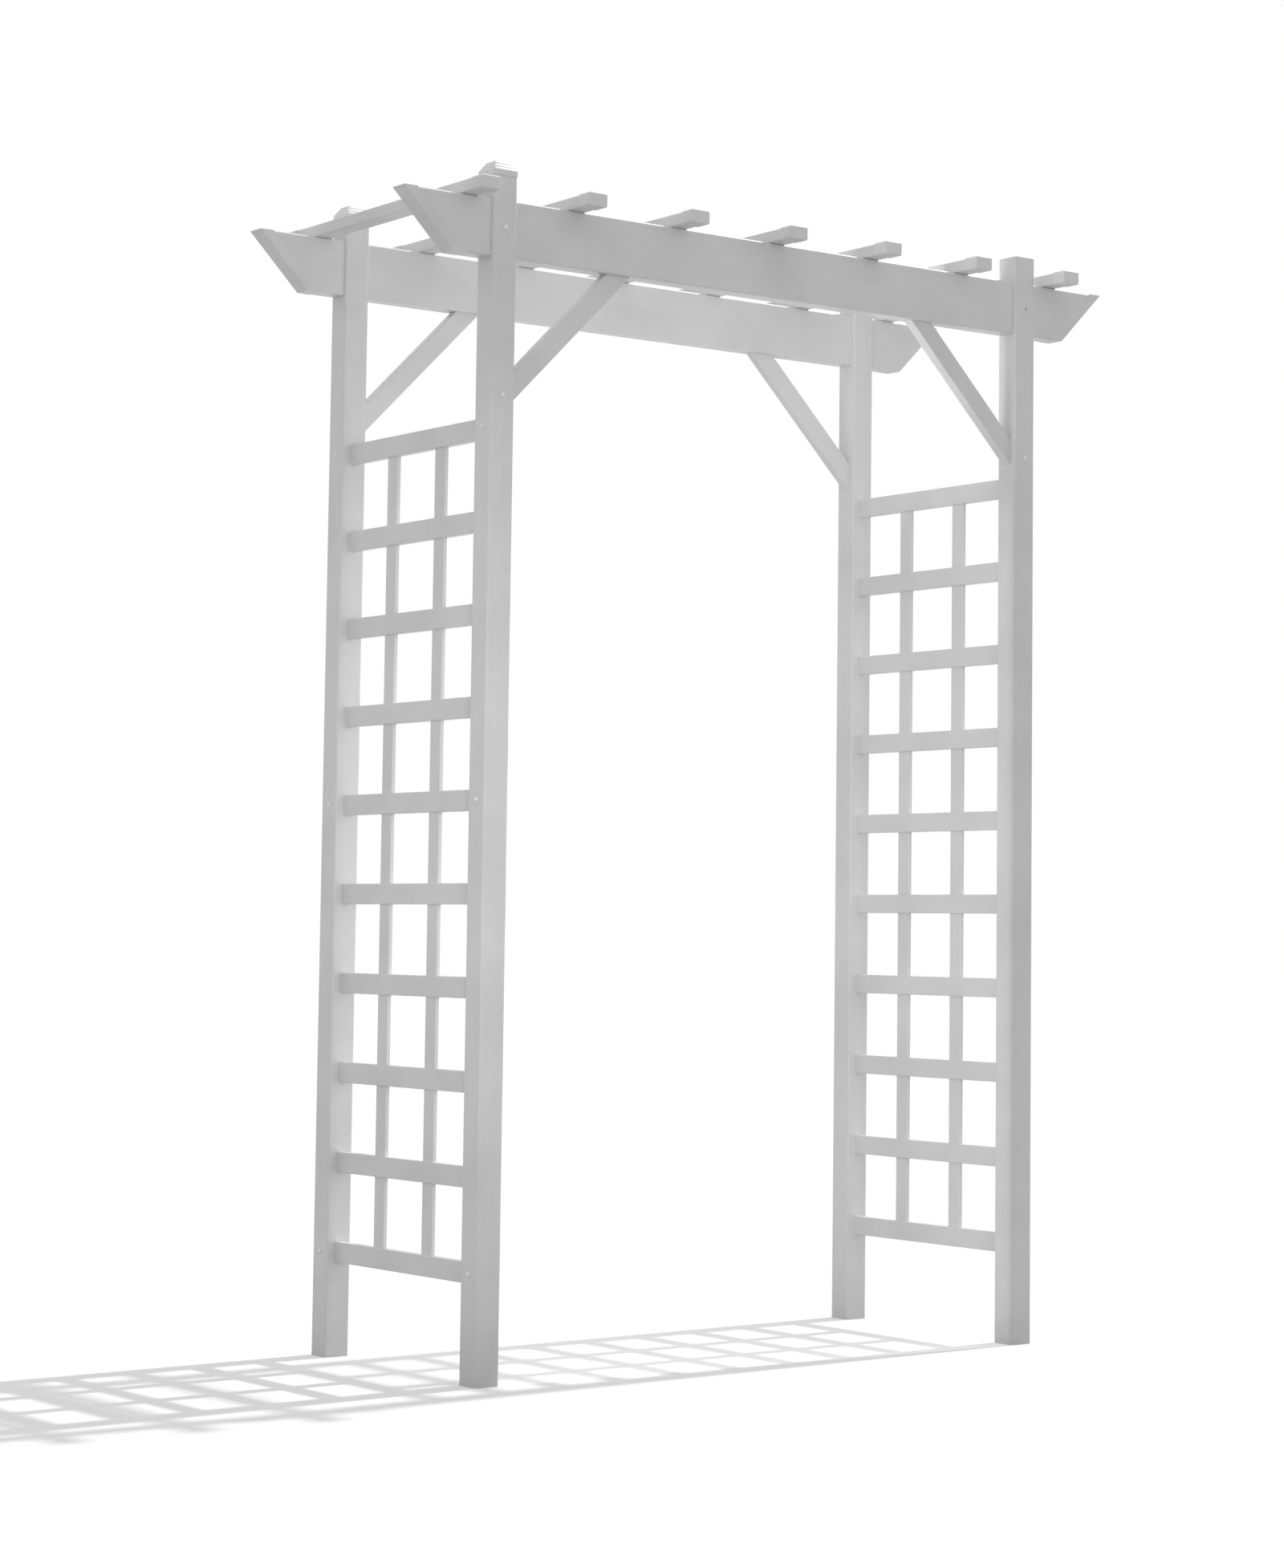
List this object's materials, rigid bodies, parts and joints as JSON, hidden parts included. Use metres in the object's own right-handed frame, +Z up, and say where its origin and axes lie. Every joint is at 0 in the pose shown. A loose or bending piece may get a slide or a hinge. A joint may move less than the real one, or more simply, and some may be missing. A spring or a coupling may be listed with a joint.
{
  "type": "garden arch",
  "caption": "Walk-through garden arch: square hollow posts with trellis sides, diagonal braces, paired headers with slanted ends and flat rafters across the top.",
  "frame": {"origin": "on the ground, in the middle between the four posts", "axes": "+Z up, +X to the right across the walk-through, +Y from the front to the back along it"},
  "size_m": [1.6702, 0.6716, 2.1653],
  "materials": {
    "vinyl": "satin",
    "moulded_vinyl": "satin",
    "steel": "zinc plated"
  },
  "bodies": {
    "root": {"brace_back_left": "vinyl", "brace_back_right": "vinyl", "brace_front_left": "vinyl", "brace_front_right": "vinyl", "header_back": "vinyl", "header_cap_back_left": "moulded_vinyl", "header_cap_back_right": "moulded_vinyl", "header_cap_front_left": "moulded_vinyl", "header_cap_front_right": "moulded_vinyl", "header_front": "vinyl", "post_back_left": "vinyl", "post_back_right": "vinyl", "post_cap_back_left": "moulded_vinyl", "post_cap_back_right": "moulded_vinyl", "post_cap_front_left": "moulded_vinyl", "post_front_left": "vinyl", "post_front_right": "vinyl", "rafter_1": "vinyl", "rafter_2": "vinyl", "rafter_3": "vinyl", "rafter_4": "vinyl", "rafter_5": "vinyl", "rafter_6": "vinyl", "rafter_7": "vinyl", "rafter_caps_back": "moulded_vinyl", "rafter_caps_front": "moulded_vinyl", "rail_left_1": "vinyl", "rail_left_10": "vinyl", "rail_left_2": "vinyl", "rail_left_3": "vinyl", "rail_left_4": "vinyl", "rail_left_5": "vinyl", "rail_left_6": "vinyl", "rail_left_7": "vinyl", "rail_left_8": "vinyl", "rail_left_9": "vinyl", "rail_right_1": "vinyl", "rail_right_10": "vinyl", "rail_right_2": "vinyl", "rail_right_3": "vinyl", "rail_right_4": "vinyl", "rail_right_5": "vinyl", "rail_right_6": "vinyl", "rail_right_7": "vinyl", "rail_right_8": "vinyl", "rail_right_9": "vinyl", "screw_covers_back": "moulded_vinyl", "screw_covers_front": "moulded_vinyl", "screw_covers_left": "moulded_vinyl", "screw_covers_right": "moulded_vinyl", "screws_back": "steel", "screws_front": "steel", "screws_left": "steel", "screws_rafters": "steel", "screws_right": "steel", "slat_left_back": "vinyl", "slat_left_front": "vinyl", "slat_right_back": "vinyl", "slat_right_front": "vinyl"}
  },
  "joints": []
}
